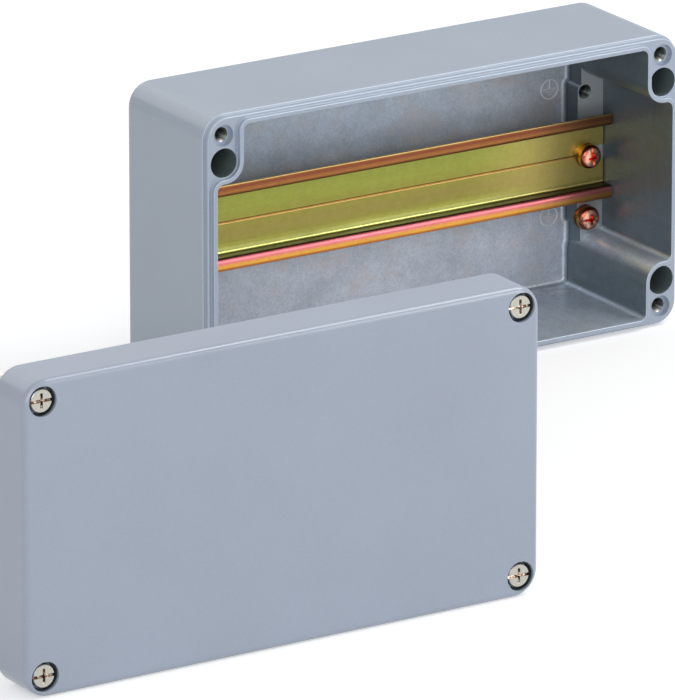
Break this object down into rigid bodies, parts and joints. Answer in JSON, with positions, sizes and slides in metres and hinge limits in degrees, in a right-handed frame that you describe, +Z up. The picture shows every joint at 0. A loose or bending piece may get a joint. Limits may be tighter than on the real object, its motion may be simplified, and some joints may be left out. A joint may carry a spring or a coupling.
{
  "type": "die cast aluminium box",
  "caption": "Rectangular die cast box for wall mounting, with a top-hat mounting rail inside and its screwed lid taken off and standing in front.",
  "frame": {"origin": "centre of the base's lower long side, which it stands on; all pieces stand on z = 0", "axes": "+X along the box's length, +Y from its open front to its back, +Z up"},
  "size_m": [0.446, 0.302, 0.12],
  "materials": {
    "housing_paint": "grey powder coat outside and on the rim, bare cast metal inside",
    "lid_paint": "grey powder coat",
    "seal_rubber": "matt black",
    "rail_steel": "yellow passivated zinc",
    "fastener_steel": "yellow passivated zinc with a copper sheen",
    "washer_steel": "yellow passivated zinc",
    "lid_screw_steel": "bright stainless steel",
    "retainer_nylon": "natural nylon"
  },
  "bodies": {
    "box": {"base_housing": "housing_paint", "lid": "lid_paint", "lid_gasket": "seal_rubber", "din_rail": "rail_steel", "rail_screw_left": "fastener_steel", "rail_spring_washer_left": "washer_steel", "rail_flat_washer_left": "washer_steel", "rail_screw_right": "fastener_steel", "rail_spring_washer_right": "washer_steel", "rail_flat_washer_right": "washer_steel", "earth_screw": "fastener_steel", "earth_spring_washer": "washer_steel", "earth_flat_washer": "washer_steel", "screw_retainer_1": "retainer_nylon", "screw_retainer_2": "retainer_nylon", "screw_retainer_3": "retainer_nylon", "screw_retainer_4": "retainer_nylon"},
    "screw_seal_1": {"screw_seal_1": "seal_rubber"},
    "lid_screw_1": {"lid_screw_1": "lid_screw_steel"},
    "screw_seal_2": {"screw_seal_2": "seal_rubber"},
    "lid_screw_2": {"lid_screw_2": "lid_screw_steel"},
    "screw_seal_3": {"screw_seal_3": "seal_rubber"},
    "lid_screw_3": {"lid_screw_3": "lid_screw_steel"},
    "screw_seal_4": {"screw_seal_4": "seal_rubber"},
    "lid_screw_4": {"lid_screw_4": "lid_screw_steel"}
  },
  "joints": [
    {"name": "lid_screw_1_travel", "type": "slide", "parent": "box", "child": "screw_seal_1", "axis": [0, -1, 0], "range_m": [0, 0.005]},
    {"name": "lid_screw_1_turn", "type": "hinge", "parent": "screw_seal_1", "child": "lid_screw_1", "pos_m": [-0.328, -0.272, 0.008], "axis": [0, -1, 0], "continuous": true},
    {"name": "lid_screw_2_travel", "type": "slide", "parent": "box", "child": "screw_seal_2", "axis": [0, -1, 0], "range_m": [0, 0.005]},
    {"name": "lid_screw_2_turn", "type": "hinge", "parent": "screw_seal_2", "child": "lid_screw_2", "pos_m": [-0.328, -0.272, 0.112], "axis": [0, -1, 0], "continuous": true},
    {"name": "lid_screw_3_travel", "type": "slide", "parent": "box", "child": "screw_seal_3", "axis": [0, -1, 0], "range_m": [0, 0.005]},
    {"name": "lid_screw_3_turn", "type": "hinge", "parent": "screw_seal_3", "child": "lid_screw_3", "pos_m": [-0.124, -0.272, 0.008], "axis": [0, -1, 0], "continuous": true},
    {"name": "lid_screw_4_travel", "type": "slide", "parent": "box", "child": "screw_seal_4", "axis": [0, -1, 0], "range_m": [0, 0.005]},
    {"name": "lid_screw_4_turn", "type": "hinge", "parent": "screw_seal_4", "child": "lid_screw_4", "pos_m": [-0.124, -0.272, 0.112], "axis": [0, -1, 0], "continuous": true}
  ]
}
